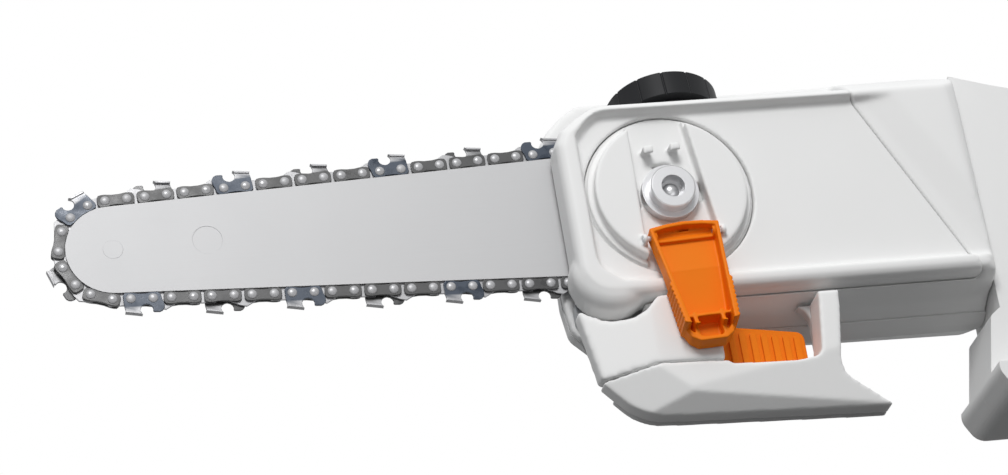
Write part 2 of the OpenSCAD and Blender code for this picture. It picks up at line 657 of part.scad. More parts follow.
// Room above the body's sloping underside
module above_belly() {
    rotate([90, 0, 90]) translate([0, 0, -60]) linear_extrude(220) polygon([
        [-40, -52.4], [-15, -52.4], [0, -57], [15, -64.6], [20, -66.6], [25, -66.2], [34, -62.4],
        [47, -56.6], [60, -56.6], [60, 80], [-40, 80]]);
}
module body_hollows() {
    // chain side: the sprocket and the stud pass through the near shell
    rod(drive_x, 0, motor_r + 0.1, part_y, motor_back + 0.3, 96);
    rod(drive_x, 0, 12, 0, motor_front, 48);
    rod(0, 0, stud_r + 0.01, 0, part_y + 12);
    rod(0, 0, stud_r + 4.05, part_y - 0.02, part_y + 4.02);
    // room for the tension wheel and its slider
    at_wheel() translate([0, 0, -wheel_h - 1.6]) cylinder(r = wheel_r + 0.8, h = wheel_h + 2.2, $fn = 96);
    at_wheel() translate([0, 0, -wheel_h - 4.4]) cylinder(r = axle_r + 0.01, h = 3, $fn = 48);
    block(peg_x - 8, wheel_x - 3, part_y, part_y + 2.8, peg_z - 6, 44);
    hull() for (x = [-3, 8]) rod(peg_x + x, peg_z, peg_r + 0.4, 0, part_y + 3, 24);
    at_wheel() translate([-spiral_r - 8, 1, -wheel_h - 3.2]) cube([19.6, 8.1, 4]);
}
chain_wall_y = chain_half + 2;
seam_cut = [
    [seam_top_x + 1, 70], [seam_top_x + gap, cover_top], [seam_knee[0] + gap, seam_knee[1]],
    [seam_bottom_x + gap, -cover_bottom - gap], [seam_bottom_x - 3, -70], [170, -70], [170, 70]];
module housing_near() {
    color("whitesmoke") difference() {
        union() {
            intersection() {
                union() {
                    side(chain_wall_y, part_y) polygon(body_outline);
                    // lip under the cover and the chain
                    block(-20, 145, -15, chain_wall_y + 0.1, -70, -cover_bottom - gap - 0.1);
                }
                above_belly();
            }
            // rear flank beyond the cover's slanted edge
            intersection() {
                above_belly_rear();
                side(-23, part_y) polygon(seam_cut);
                difference() {
                    hull() {
                        side(part_y - 5, part_y) polygon(body_outline);
                        side(-14, -13.9) polygon([[60, cover_top + 4.6], [152, cover_top + 5.2],
                            [152, -cover_bottom - 4], [60, -cover_bottom - 4]]);
                        side(-cover_front + 4.5, -cover_front + 4.52) polygon([[60, cover_top],
                            [150, cover_top + 1], [151, -cover_bottom], [60, -cover_bottom]]);
                        side(-cover_front, -cover_front + 0.02) polygon([[60, cover_top - 3.4],
                            [142, cover_top - 3], [146, -cover_bottom + 4], [60, -cover_bottom + 3.4]]);
                    }
                    // the cover's recess runs on over the seam and fades out
                    hull() {
                        side(-cover_front - 0.5, -cover_front - 0.48) polygon(recess(0, 126));
                        side(panel_y - 0.02, panel_y) polygon(recess(2.3, 102));
                    }
                }
            }
            front_block();
        }
        body_hollows();
    }
}
module above_belly_rear() {
    rotate([90, 0, 90]) translate([0, 0, 60]) linear_extrude(120) polygon([
        [-24, -50], [-15, -54], [0, -57], [21, -66.5], [60, -66.5], [60, 80], [-24, 80]]);
}
// Solid nose block below the cover, with a concave top and three flat facets
seam_z = -88;
module front_block() {
    intersection() {
        union() {
            side(-30, guard_back) polygon(rounded([
                [-53.8, -54.6, 0], [-47.6, seam_z - 3.4, 0], [-20, seam_z + 1.2, 0], [10.5, seam_z, 0],
                [10.5, -53, 0], [-16, -53.4, 3], [-22, -59.6, 4], [-29, -62.9, 12], [-41, -62.6, 12],
                [-50, -57, 3]], 5));
            side(guard_back - 0.1, chain_wall_y + 0.1) polygon([[-49, -60], [-47, -67], [10.5, -67],
                [10.5, -53.2], [-15, -53.2], [-19, -57.4], [-46, -57.4]]);
        }
        facets();
    }
}
// Upright facets that the block and the guard share, falling back towards the front
module facets() {
    linear_extrude(260, center = true) polygon([
        [-57, 10], [-57, -13], [-53, -17.4], [-21, -guard_front + 0.25],
        [-7, -guard_front], [120, -guard_front], [120, 10]]);
}
module housing_far() {
    color("whitesmoke") difference() {
        intersection() {
            above_belly();
            hull() {
                    side(part_y, 15) polygon(body_outline);
                    side(32, 32.1) polygon(rounded([
                        [-48, body_top - 12, 14], [-48.4, -36, 8], [-46.6, -48, 8], [-40, -56, 10],
                        [151, -63, 6], [151, body_top - 2, 8]], 4));
                    side(body_back - 0.1, body_back) polygon(rounded([
                        [-42, body_top - 12, 14], [-43.5, -33, 8], [-41.5, -41.5, 8], [-34, -48, 12],
                        [144, -56, 6], [144, body_top - 8, 8]], 4));
            }
        }
        body_hollows();
        // cooling slots over the motor
        for (i = [-3:3]) block(drive_x + i * 6 - 1.5, drive_x + i * 6 + 1.5, motor_back + 2, body_back + 1,
            -sqrt(400 - 36 * i * i), sqrt(400 - 36 * i * i));
        oil_room();
        block(108, 148, part_y + 4, part_y + 10, -42, 42);
        rod(34, -41, 10, part_y + 3.7, part_y + 20.3);
        for (p = screw_spots) screw_hole(p, part_y, body_back - 6);
    }
}
oil_x = -22;
oil_z = -32;
oil_back = body_back - 11;
module oil_room() {
    side(part_y + 4, oil_back) polygon(rounded([
        [-40, -8, 4], [-40, -44, 10], [-27, -51, 8], [22, -51, 4], [22, -22, 4]], 4));
    rod(oil_x, oil_z, 11.4, oil_back - 1, body_back + 1);
}
module oil_tank() {
    color("ivory") difference() {
        union() {
            side(part_y + 4 + gap, oil_back - gap) polygon(rounded([
                [-40 + gap, -8 - gap, 4], [-40 + gap, -44 + gap, 10], [-27, -51 + gap, 8],
                [22 - gap, -51 + gap, 4], [22 - gap, -22, 4]], 4));
            rod(oil_x, oil_z, 11.2, oil_back - 1, body_back - 1);
        }
        side(part_y + 6.5, oil_back - 3) polygon(rounded([
            [-37, -12, 3], [-37, -43, 9], [-26, -48.4, 6], [19, -48.4, 3], [19, -25, 3]], 4));
        rod(oil_x, oil_z, 8.4, oil_back - 4, body_back);
    }
}
module oil_cap() {
    color("darkorange") difference() {
        union() {
            rod(oil_x, oil_z, 8.3, body_back - 7, body_back - 1);
            rod(oil_x, oil_z, 12.5, body_back + 0.3, body_back + 3.5, 60);
            rod(oil_x, oil_z, 10.8, body_back - 1, body_back + 0.3);
        }
        for (m = [-1, 1]) block(oil_x + (m > 0 ? 2 : -14), oil_x + (m > 0 ? 14 : -2), body_back + 2,
            body_back + 4, oil_z - 8, oil_z + 8);
    }
}
module oil_pump() {
    color("dimgray") {
        difference() {
            block(28, 40, part_y + 4, part_y + 20, -48, -34);
            rod(34, -41, 3, part_y + 3, part_y + 12);
        }
    }
}
module chain_catcher() {
    color("gray") side(-2.4, chain_wall_y - 0.02) polygon(rounded([
        [-50.5, -45.6, 1], [-50.5, -56.5, 2], [-43.5, -54, 1], [-43.5, -45.6, 1]], 4));
}

// ---------- lower guard ----------

guard_front = 25;
guard_split = -7.8;
guard_back = -8;
base_z = -stud_height;
guard_edge = [
    [-47.6, seam_z - 3.7, 0], [-42.6, -97.4, 20], [-36, -104.2, 25], [-26, -110, 25],
    [-8, -111, 0], [88.6, base_z, 0]];
guard_near_outline = rounded(concat(guard_edge, [
    [67, -99.1, 8], [65.3, -92, 10], [69.6, -66, 0], [70.4, -57.5, 0],
    [60.2, -57.5, 0], [60, -62, 0], [56.4, -89.4, 5], [44, -91.2, 0], [14, seam_z - 2.2, 2],
    [11, seam_z - gap, 0], [-20, seam_z + 1.2 - gap, 0]]), 5);
// What lies in front of the plane y = c + p x + q z, as a slab 40 mm deep
module in_front_of(c, p, q) {
    function back(x, z) = [x, c + p * x + q * z, z];
    function front(x, z) = [x, -80, z];
    polyhedron(points = [
        back(-70, -130), back(110, -130), back(110, -50), back(-70, -50),
        front(-70, -130), front(110, -130), front(110, -50), front(-70, -50)],
        faces = [[0, 1, 2, 3], [4, 7, 6, 5], [0, 4, 5, 1], [1, 5, 6, 2], [2, 6, 7, 3], [3, 7, 4, 0]]);
}
module guard_near() {
    color("white") intersection() {
        difference() {
            side(-guard_front, guard_split - 0.02) polygon(guard_near_outline);
            // long chamfer below, running out at the tip
            in_front_of(-guard_front - 93.24, -0.0505, -0.914);
            // corner facet, from a slanting crease down to the round front edge
            in_front_of(-guard_front - 30.1, -0.26, -0.28);
            // the face falls back towards the tip
            in_front_of(-guard_front - 20.53, 0.0387, -0.208);
        }
        facets();
    }
}
module guard_far() {
    color("gainsboro") {
        // lower flange
        side(guard_split, -3) polygon(rounded([
            [-41.8, -96.6, 0], [-40.6, -98.4, 8], [-35, -104.6, 25], [-26, -110, 25],
            [-8, -111, 0], [88.6, base_z, 0], [66.6, -99.3, 8], [64.6, -92, 0], [60, -92, 0],
            [60, -96.6, 0]], 5));
        // the strut is deeper than the guard, with fillets where it meets the body
        side(guard_split, -0.6) polygon(rounded([
            [50, -57.3, 0], [60.6, -57.6, 9], [59.6, -70, 0], [60, -94, 0], [64, -94, 0],
            [68.6, -66, 0], [69.4, -57.6, 9], [79.6, -57.3, 0]], 6));
    }
}
// Ribbed release slide in the guard's window
slide_x0 = 11.2;
slide_x1 = 55;
module guard_slide() {
    color("darkorange") {
        difference() {
            side(-6.4, -2) polygon(rounded([
                [slide_x0, -63.6, 0], [slide_x1, -70.6, 4], [slide_x1, -95, 0], [slide_x0, -95, 0]], 4));
            block(slide_x1 - 8, slide_x1 + 1, -7, -1, -93.4, -88.6);
        }
        for (i = [0:7]) side(-7.7, -6.4) polygon(rounded([
            [slide_x0 + 2 + 5.2 * i, -66.4 - 0.83 * i, 1.4], [slide_x0 + 5 + 5.2 * i, -66.8 - 0.83 * i, 1.4],
            [slide_x0 + 5 + 5.2 * i, -94, 0], [slide_x0 + 2 + 5.2 * i, -94, 0]], 3));
    }
}
module guard_spring() {
    color("silver") translate([slide_x1 - 7.9, -4.2, -91]) rotate([0, 90, 0]) coil(7, 2, 2.1);
}

// ---------- rear handle, trigger and battery ----------

socket_x = 262;
battery_x = 300;
handle_outline = rounded([
    [152.3, 56, 0], [172, 50, 20], [262, 26, 20], [battery_x, 24, 6], [battery_x, base_z, 4],
    [146, base_z, 8], [140, -104, 8], [147, -71, 4], [152.3, -67.2, 0]], 6);
loop_outline = rounded([
    [176, 2, 16], [262, -16, 10], [258, -94, 12], [166, -94, 14], [164, -60, 20]], 6);
grip_half = 19;
handle_mid = part_y;
module handle_half(m) {
    y0 = m < 0 ? handle_mid - grip_half : handle_mid;
    difference() {
        union() {
            side(y0, y0 + grip_half) difference() {
                polygon(handle_outline);
                polygon(loop_outline);
            }
            // wide foot rail and battery seat
            side(m < 0 ? -24 : handle_mid, m < 0 ? handle_mid : body_back - 4) difference() {
                polygon(handle_outline);
                polygon(loop_outline);
                polygon([[100, 80], [100, -100], [socket_x + 6, -100], [socket_x + 14, 80]]);
            }
        }
        trigger_room();
        battery_room();
    }
}
module trigger_room() {
    block(178, 232, handle_mid - 6.5, handle_mid + 6.5, -20, 24);
    block(190, 214, handle_mid - 5.5, handle_mid + 5.5, 10, 60);
    translate([184, handle_mid - 20, 4]) rotate([-90, 0, 0]) cylinder(r = 2, h = 30, $fn = 32);
}
module handle_near() { color("whitesmoke") handle_half(-1); }
module handle_far() {
    color("whitesmoke") difference() {
        handle_half(1);
        for (p = handle_screw_spots) screw_hole(p, handle_mid, handle_mid + grip_half - 5);
    }
}
module trigger() {
    color("darkorange") difference() {
        union() {
            side(handle_mid - 6, handle_mid + 6) polygon(rounded([
                [180, 8, 3], [188, 8, 2], [226, -2, 0], [228, -10, 2], [222, -13, 6], [206, -17, 12],
                [190, -12, 8], [180, -2, 3]], 5));
        }
        translate([184, handle_mid - 10, 4]) rotate([-90, 0, 0]) cylinder(r = 2.05, h = 20, $fn = 32);
    }
}
module trigger_pin() {
    color("silver") translate([184, handle_mid - 18, 4]) rotate([-90, 0, 0])
        cylinder(r = 1.98, h = 27.9, $fn = 32);
}
module trigger_spring() {
    color("silver") translate([223, handle_mid, -0.4]) coil(9, 2.94, 2.6);
}
module trigger_switch() {
    color("dimgray") side(handle_mid - 5, handle_mid + 5)
        polygon([[196, 9.4], [203, 7.3], [216, 7.3], [216, 23.8], [196, 23.8]]);
}
module lockout_button() {
    color("darkorange") intersection() {
        block(191, 213, handle_mid - 5, handle_mid + 5, 32, 52);
        side(0, 30) polygon([[191, 32], [213, 32], [213, 46], [208, 49], [191, 51.5]]);
    }
}
module lockout_spring() {
    color("silver") translate([202, handle_mid, 23.9]) coil(5, 1.8, 3);
}
module battery_room() {
    block(socket_x + 6, battery_x + 1, handle_mid - 15, handle_mid + 15, -80, 4);
}
module battery() {
    color("dimgray") difference() {
        union() {
            side(-26, body_back - 2) polygon(rounded([
                [battery_x + gap, 22, 4], [battery_end, 10, 10], [battery_end, -107, 8],
                [battery_x + gap, -112, 4]], 5));
            block(socket_x + 10, battery_x + gap, handle_mid - 14.5, handle_mid + 14.5, -79, 3);
        }
        block(battery_x + 6, battery_x + 26, handle_mid - 12, handle_mid + 12, 8, 40);
    }
}
module battery_latch() {
    color("darkorange") block(battery_x + 6.3, battery_x + 25.7, handle_mid - 11.7, handle_mid + 11.7,
        13.6, 23);
}
module latch_spring() {
    color("silver") translate([battery_x + 16, handle_mid, 8.1]) coil(4, 1.5, 3);
}
module battery_terminals() {
    color("gold") for (z = [-60, -45, -30, -15]) block(socket_x + 6.1, socket_x + 9.8, handle_mid - 1,
        handle_mid + 1, z - 3, z + 3);
}
module control_board() {
    color("darkgreen") {
        block(110, 146, part_y + 5, part_y + 6.6, -40, 40);
        block(114, 126, part_y + 6.6, part_y + 9.6, -20, 10);
        block(130, 142, part_y + 6.6, part_y + 9.6, 14, 34);
    }
}

// ---------- screws ----------

screw_spots = [[-36, 30], [34, -53.5], [100, -52], [142, -52], [44, 46], [96, 50], [144, 50]];
handle_screw_spots = [[166, 30], [248, 10], [282, 14], [156, -100], [230, -106], [282, -104]];
module screw_hole(p, y0, y1) {
    rod(p[0], p[1], 1.9, y0, y1 + 20);
    rod(p[0], p[1], 3.6, y1, y1 + 20);
}
module screw(p, y0, y1) {
    rod(p[0], p[1], 1.7, y0 + 0.5, y1);
    difference() {
        rod(p[0], p[1], 3.3, y1, y1 + 2.4);
        rod(p[0], p[1], 1.6, y1 + 1, y1 + 3, 24);
    }
}
module housing_screws() {
    color("dimgray") for (p = screw_spots) screw(p, part_y, body_back - 6);
}
module handle_screws() {
    color("dimgray") for (p = handle_screw_spots) screw(p, handle_mid, handle_mid + grip_half - 5);
}

placed() guide_bar();
placed() place_nose() nose_sprocket();
placed() nose_bearing();
placed() cutters_near();
placed() cutters_far();
placed() tie_straps();
placed() drive_links();
placed() chain_rivets();
placed() drive_sprocket();
placed() sprocket_clip();
placed() motor_shaft();
placed() motor_rotor();
placed() motor_can();
placed() shaft_bearings();
placed() housing_near();
placed() housing_far();
placed() sprocket_cover();
placed() chain_catcher();
placed() guard_near();
placed() guard_far();
placed() guard_slide();
placed() guard_spring();
placed() bar_stud();
placed() lock_nut();
placed() lock_knob();
placed() lever_pin();
placed() lock_lever();
placed() tension_wheel();
placed() wheel_axle();
placed() tension_slider();
placed() oil_tank();
placed() oil_cap();
placed() oil_pump();
placed() handle_near();
placed() handle_far();
placed() trigger();
placed() trigger_pin();
placed() trigger_spring();
placed() trigger_switch();
placed() lockout_button();
placed() lockout_spring();
placed() control_board();
placed() battery();
placed() battery_latch();
placed() latch_spring();
placed() battery_terminals();
placed() housing_screws();
placed() handle_screws();
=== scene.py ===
"""Dresses the compact battery chainsaw: finishes, mouldings, springs, chain and a studio."""
import json
import math

import bmesh
import bpy
from bpy.props import FloatProperty, FloatVectorProperty, IntProperty, PointerProperty
from mathutils import Matrix, Vector


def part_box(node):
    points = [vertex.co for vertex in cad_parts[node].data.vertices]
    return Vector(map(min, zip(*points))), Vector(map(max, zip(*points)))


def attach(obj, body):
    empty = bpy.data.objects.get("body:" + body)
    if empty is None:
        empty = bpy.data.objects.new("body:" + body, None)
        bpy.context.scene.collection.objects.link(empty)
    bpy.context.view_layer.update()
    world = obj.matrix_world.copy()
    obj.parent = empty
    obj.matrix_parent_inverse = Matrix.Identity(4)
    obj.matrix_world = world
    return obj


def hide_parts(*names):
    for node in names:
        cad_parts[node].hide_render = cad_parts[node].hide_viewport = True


bl_info = {
    "name": "Battery Chainsaw Dressing",
    "version": (1, 0, 0),
    "blender": (4, 5, 0),
    "location": "View3D > Sidebar > Chainsaw",
    "description": "Finishes a compact battery chainsaw and sets its studio",
    "category": "Object",
}

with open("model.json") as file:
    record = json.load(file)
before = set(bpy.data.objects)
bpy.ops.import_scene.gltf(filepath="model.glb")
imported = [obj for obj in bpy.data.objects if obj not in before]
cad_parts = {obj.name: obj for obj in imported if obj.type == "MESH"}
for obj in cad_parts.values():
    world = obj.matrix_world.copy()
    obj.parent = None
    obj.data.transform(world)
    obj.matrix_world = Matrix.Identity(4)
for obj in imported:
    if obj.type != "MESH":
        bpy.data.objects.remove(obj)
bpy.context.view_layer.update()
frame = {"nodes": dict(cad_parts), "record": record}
NODES = frame["nodes"]
RECORD = frame["record"]
BODY_OF = {node: body for body, nodes in RECORD["behaviour"]["bodies"].items() for node in nodes}
SLOT_OF = {part["node"]: part["material_slot"] for part in RECORD["subparts"]}
MM = 0.001
STUD_X, STUD_Z = -220, 114.8  # the bar stud's axis in the row frame, in mm
UPRIGHT = Matrix.Rotation(math.radians(90), 4, "X")  # turns a round piece's axis from Z to Y


def in_frame(x, y, z):
    """A point given from the bar stud's axis and the bar's middle plane, in mm, in the row frame."""
    return Vector((x + STUD_X, y, z + STUD_Z)) * MM


def joint_place(name):
    """Place of a joint of the record, in metres."""
    return next(j["pos_m"] for j in RECORD["behaviour"]["joints"] if j["name"] == name)


def finished_mesh(work, name):
    """The mesh of a bmesh that is done with."""
    mesh = bpy.data.meshes.new(name)
    work.to_mesh(mesh)
    work.free()
    return mesh


def put_in_scene(piece):
    """Links a new object to the scene."""
    bpy.context.scene.collection.objects.link(piece)
    return piece


# ---------------------------------------------------------------- sizes and colours


class ShellSettings(bpy.types.PropertyGroup):
    """Moulded shells"""
    voxel: FloatProperty(
        name="Rounding grid", description="Grid on which the mouldings' edges are rounded",
        default=0.0009, unit="LENGTH")
    passes: IntProperty(
        name="Rounding passes", description="How often the moulded edges are smoothed", default=6)
    white: FloatVectorProperty(
        name="White plastic", description="Colour of the white mouldings", subtype="COLOR",
        default=(0.81, 0.81, 0.805))
    grey: FloatVectorProperty(
        name="Grey plastic", description="Colour of the grey mouldings", subtype="COLOR",
        default=(0.60, 0.60, 0.60))
    orange: FloatVectorProperty(
        name="Orange plastic", description="Colour of everything the hand works", subtype="COLOR",
        default=(0.84, 0.20, 0.004))
    black: FloatVectorProperty(
        name="Black plastic", description="Colour of the thumb wheel and the battery",
        subtype="COLOR", default=(0.012, 0.0125, 0.014))
    grain: FloatProperty(
        name="Moulding texture", description="Depth of the fine moulded texture",
        default=0.04, subtype="FACTOR")


class SteelSettings(bpy.types.PropertyGroup):
    """Steel parts"""
    bar: FloatVectorProperty(
        name="Guide bar", description="Colour of the ground bar", subtype="COLOR",
        default=(0.45, 0.45, 0.455))
    link: FloatVectorProperty(
        name="Chain links", description="Colour of the tie straps", subtype="COLOR",
        default=(0.055, 0.055, 0.056))
    cutter: FloatVectorProperty(
        name="Cutters", description="Colour of the blued cutters", subtype="COLOR",
        default=(0.03, 0.043, 0.066))
    bright: FloatVectorProperty(
        name="Turned steel", description="Colour of rivets, nut and pins", subtype="COLOR",
        default=(0.62, 0.62, 0.63))
    dark: FloatVectorProperty(
        name="Dark steel", description="Colour of the drive parts and screws", subtype="COLOR",
        default=(0.12, 0.125, 0.13))


class SpringSettings(bpy.types.PropertyGroup):
    """Coil springs"""
    wire: FloatProperty(
        name="Wire", description="Radius of the springs' wire", default=0.00038, unit="LENGTH")
    steps: IntProperty(
        name="Steps a turn", description="Sections of wire in one turn of a spring", default=20)


class StudioSettings(bpy.types.PropertyGroup):
    """Studio"""
    camera_place: FloatVectorProperty(
        name="Camera", description="Place of the camera", subtype="TRANSLATION", unit="LENGTH",
        default=(-0.6676, -1.5689, -0.5918))
    lens: FloatProperty(
        name="Lens", description="Focal length of the camera in mm", default=133.5)
    above: FloatProperty(
        name="Room light above", description="Strength of the room's light from above", default=0.76)
    below: FloatProperty(
        name="Room light below", description="Strength of the room's light from below", default=0.1)
    key: FloatProperty(
        name="Key lamp", description="Power of the main lamp", default=19.0, unit="POWER")
    fill: FloatProperty(
        name="Fill lamp", description="Power of the lamp below", default=0.5, unit="POWER")


# ---------------------------------------------------------------- finishes


def add(tree, kind, **values):
    """A node with its settings and unlinked inputs."""
    node = tree.nodes.new(kind)
    for key, value in values.items():
        if key in node.inputs:
            node.inputs[key].default_value = value
        else:
            setattr(node, key, value)
    return node


def group_named(name, inputs, outputs):
    """An empty shader node group with its sockets, and its two end nodes."""
    tree = bpy.data.node_groups.new(name, "ShaderNodeTree")
    for label, kind, value in inputs:
        socket = tree.interface.new_socket(label, in_out="INPUT", socket_type=kind)
        socket.default_value = value
    for label, kind in outputs:
        tree.interface.new_socket(label, in_out="OUTPUT", socket_type=kind)
    return tree, tree.nodes.new("NodeGroupInput"), tree.nodes.new("NodeGroupOutput")


def tinted(tree, start, end, noise, strength):
    """Shifts the group's colour by a noise around its mean, and returns the shift."""
    link = tree.links.new
    spread = add(tree, "ShaderNodeMath", operation="SUBTRACT")
    link(noise.outputs["Fac"], spread.inputs[0])
    spread.inputs[1].default_value = 0.5
    amount = add(tree, "ShaderNodeMath", operation="MULTIPLY")
    link(spread.outputs[0], amount.inputs[0])
    link(start.outputs[strength], amount.inputs[1])
    bright = add(tree, "ShaderNodeMath", operation="ADD")
    link(amount.outputs[0], bright.inputs[0])
    bright.inputs[1].default_value = 1.0
    tint = add(tree, "ShaderNodeVectorMath", operation="SCALE")
    link(start.outputs["Color"], tint.inputs[0])
    link(bright.outputs[0], tint.inputs["Scale"])
    link(tint.outputs[0], end.inputs["Color"])
    return amount


def surface_variation():
    """Slight cloudiness of colour and gloss, and a fine raised texture."""
    tree, start, end = group_named(
        "Surface variation",
        [("Color", "NodeSocketColor", (0.8, 0.8, 0.8, 1)), ("Roughness", "NodeSocketFloat", 0.5),
         ("Cloud size", "NodeSocketFloat", 30.0), ("Cloud", "NodeSocketFloat", 0.04),
         ("Grain size", "NodeSocketFloat", 2200.0), ("Grain", "NodeSocketFloat", 0.05),
         ("Edge", "NodeSocketFloat", 0.0004)],
        [("Color", "NodeSocketColor"), ("Roughness", "NodeSocketFloat"), ("Normal", "NodeSocketVector")])
    link = tree.links.new
    place = add(tree, "ShaderNodeTexCoord")
    cloud = add(tree, "ShaderNodeTexNoise", Detail=4.0)
    link(place.outputs["Object"], cloud.inputs["Vector"])
    link(start.outputs["Cloud size"], cloud.inputs["Scale"])
    amount = tinted(tree, start, end, cloud, "Cloud")
    gloss = add(tree, "ShaderNodeMath", operation="MULTIPLY_ADD")
    link(amount.outputs[0], gloss.inputs[0])
    gloss.inputs[1].default_value = 2.0
    link(start.outputs["Roughness"], gloss.inputs[2])
    link(gloss.outputs[0], end.inputs["Roughness"])
    grain = add(tree, "ShaderNodeTexNoise", Detail=2.0)
    link(place.outputs["Object"], grain.inputs["Vector"])
    link(start.outputs["Grain size"], grain.inputs["Scale"])
    round_edge = add(tree, "ShaderNodeBevel", samples=4)
    link(start.outputs["Edge"], round_edge.inputs["Radius"])
    bump = add(tree, "ShaderNodeBump", Distance=0.0002)
    link(start.outputs["Grain"], bump.inputs["Strength"])
    link(grain.outputs["Fac"], bump.inputs["Height"])
    link(round_edge.outputs["Normal"], bump.inputs["Normal"])
    link(bump.outputs["Normal"], end.inputs["Normal"])


def ground_grain():
    """Fine scratches of grinding along X, as a mask and a normal."""
    tree, start, end = group_named(
        "Ground grain",
        [("Color", "NodeSocketColor", (0.6, 0.6, 0.6, 1)), ("Roughness", "NodeSocketFloat", 0.35),
         ("Strength", "NodeSocketFloat", 0.1), ("Normal", "NodeSocketVector", (0, 0, 0))],
        [("Color", "NodeSocketColor"), ("Roughness", "NodeSocketFloat"), ("Normal", "NodeSocketVector")])
    link = tree.links.new
    place = add(tree, "ShaderNodeTexCoord")
    stretch = add(tree, "ShaderNodeMapping")
    stretch.inputs["Scale"].default_value = (8, 60, 2600)
    link(place.outputs["Object"], stretch.inputs["Vector"])
    lines = add(tree, "ShaderNodeTexNoise", Detail=3.0, Scale=1.0)
    link(stretch.outputs[0], lines.inputs["Vector"])
    amount = tinted(tree, start, end, lines, "Strength")
    gloss = add(tree, "ShaderNodeMath", operation="ADD")
    link(amount.outputs[0], gloss.inputs[0])
    link(start.outputs["Roughness"], gloss.inputs[1])
    link(gloss.outputs[0], end.inputs["Roughness"])
    bump = add(tree, "ShaderNodeBump", Distance=0.00005, Strength=0.25)
    link(lines.outputs["Fac"], bump.inputs["Height"])
    link(start.outputs["Normal"], bump.inputs["Normal"])
    link(bump.outputs["Normal"], end.inputs["Normal"])


def finish_material(name, color, roughness, metallic=0.0, cloud=0.04, cloud_size=30.0, grain=0.05,
                    grain_size=2200.0, edge=0.0004, ground=0.0, coat=0.0, shine=0.5, ground_color=None):
    """One finish: the shared variation, ground lines, and a second colour where a mesh is marked."""
    plain = bpy.data.materials.get(name)  # the frame brings plain ones under the same names
    if plain:
        plain.name = "plain " + name
    material = bpy.data.materials.new(name)
    material.use_nodes = True
    tree = material.node_tree
    shader = tree.nodes["Principled BSDF"]
    shader.inputs["Metallic"].default_value = metallic
    shader.inputs["Coat Weight"].default_value = coat
    shader.inputs["Specular IOR Level"].default_value = shine
    shader.inputs["Coat Roughness"].default_value = 0.2
    base = add(tree, "ShaderNodeGroup", node_tree=bpy.data.node_groups["Surface variation"])
    base.inputs["Color"].default_value = (*color, 1)
    base.inputs["Roughness"].default_value = roughness
    base.inputs["Cloud"].default_value = cloud
    base.inputs["Cloud size"].default_value = cloud_size
    base.inputs["Grain"].default_value = grain
    base.inputs["Grain size"].default_value = grain_size
    base.inputs["Edge"].default_value = edge
    last = base
    if ground:
        lines = add(tree, "ShaderNodeGroup", node_tree=bpy.data.node_groups["Ground grain"])
        lines.inputs["Strength"].default_value = ground
        for socket in ("Color", "Roughness", "Normal"):
            tree.links.new(base.outputs[socket], lines.inputs[socket])
        last = lines
    if ground_color:
        mask = add(tree, "ShaderNodeAttribute", attribute_name="ground")
        blend = add(tree, "ShaderNodeMix", data_type="RGBA")
        blend.inputs[7].default_value = (*ground_color, 1)
        tree.links.new(mask.outputs["Fac"], blend.inputs[0])
        tree.links.new(last.outputs["Color"], blend.inputs[6])
        tree.links.new(blend.outputs[2], shader.inputs["Base Color"])
    else:
        tree.links.new(last.outputs["Color"], shader.inputs["Base Color"])
    tree.links.new(last.outputs["Roughness"], shader.inputs["Roughness"])
    tree.links.new(last.outputs["Normal"], shader.inputs["Normal"])
    return material


class CHAINSAW_OT_finishes(bpy.types.Operator):
    """Builds every finish and gives it to the parts of the frame"""
    bl_idname = "chainsaw.finishes"
    bl_label = "Finishes"

    def execute(self, context):
        shell = context.scene.chainsaw_shell
        steel = context.scene.chainsaw_steel
        surface_variation()
        ground_grain()
        make = finish_material
        plastic = {"grain": shell.grain, "cloud": 0.03, "edge": 0.0006}
        make("white_shell", shell.white, 0.5, shine=0.35, **plastic)
        make("grey_shell", shell.grey, 0.45, **plastic)
        make("orange_plastic", shell.orange, 0.42, cloud=0.04, grain=0.02, edge=0.0004, shine=0.12)
        make("black_plastic", shell.black, 0.42, cloud=0.1, grain=0.05, edge=0.0003, shine=0.2)
        make("clear_tank", (0.62, 0.60, 0.50), 0.35, cloud=0.08)
        make("bar_steel", steel.bar, 0.5, metallic=0.35, ground=0.05, cloud=0.02, grain=0.0,
             edge=0.0002, shine=0.3)
        make("link_steel", steel.link, 0.36, metallic=0.2, cloud=0.3, cloud_size=140, edge=0.0002,
             ground_color=(0.42, 0.42, 0.43))
        ground = {"metallic": 0.2, "cloud_size": 160, "edge": 0.0002, "ground_color": (0.40, 0.40, 0.41)}
        make("cutter_blue", steel.cutter, 0.32, cloud=0.4, **ground)
        make("cutter_grey", (0.06, 0.06, 0.061), 0.34, cloud=0.4, **ground)
        make("polished_steel", steel.bright, 0.34, metallic=0.8, cloud=0.04, grain=0.0, edge=0.0003)
        make("spring_steel", steel.bright, 0.3, metallic=1.0, cloud=0.15)
        make("dark_steel", steel.dark, 0.4, metallic=0.8, cloud=0.3, cloud_size=80)
        make("motor_metal", (0.42, 0.43, 0.44), 0.42, metallic=0.9, cloud=0.2, grain=0.15)
        make("alloy", (0.36, 0.37, 0.38), 0.45, metallic=0.9, cloud=0.2, grain=0.2, grain_size=1200)
        make("circuit_board", (0.012, 0.09, 0.035), 0.3, cloud=0.3, cloud_size=300, coat=0.4)
        make("contact_brass", (0.60, 0.40, 0.11), 0.28, metallic=1.0, cloud=0.15)
        for node, piece in NODES.items():
            piece.data.materials.clear()
            piece.data.materials.append(bpy.data.materials[SLOT_OF[node]])
        return {"FINISHED"}


# ---------------------------------------------------------------- pieces


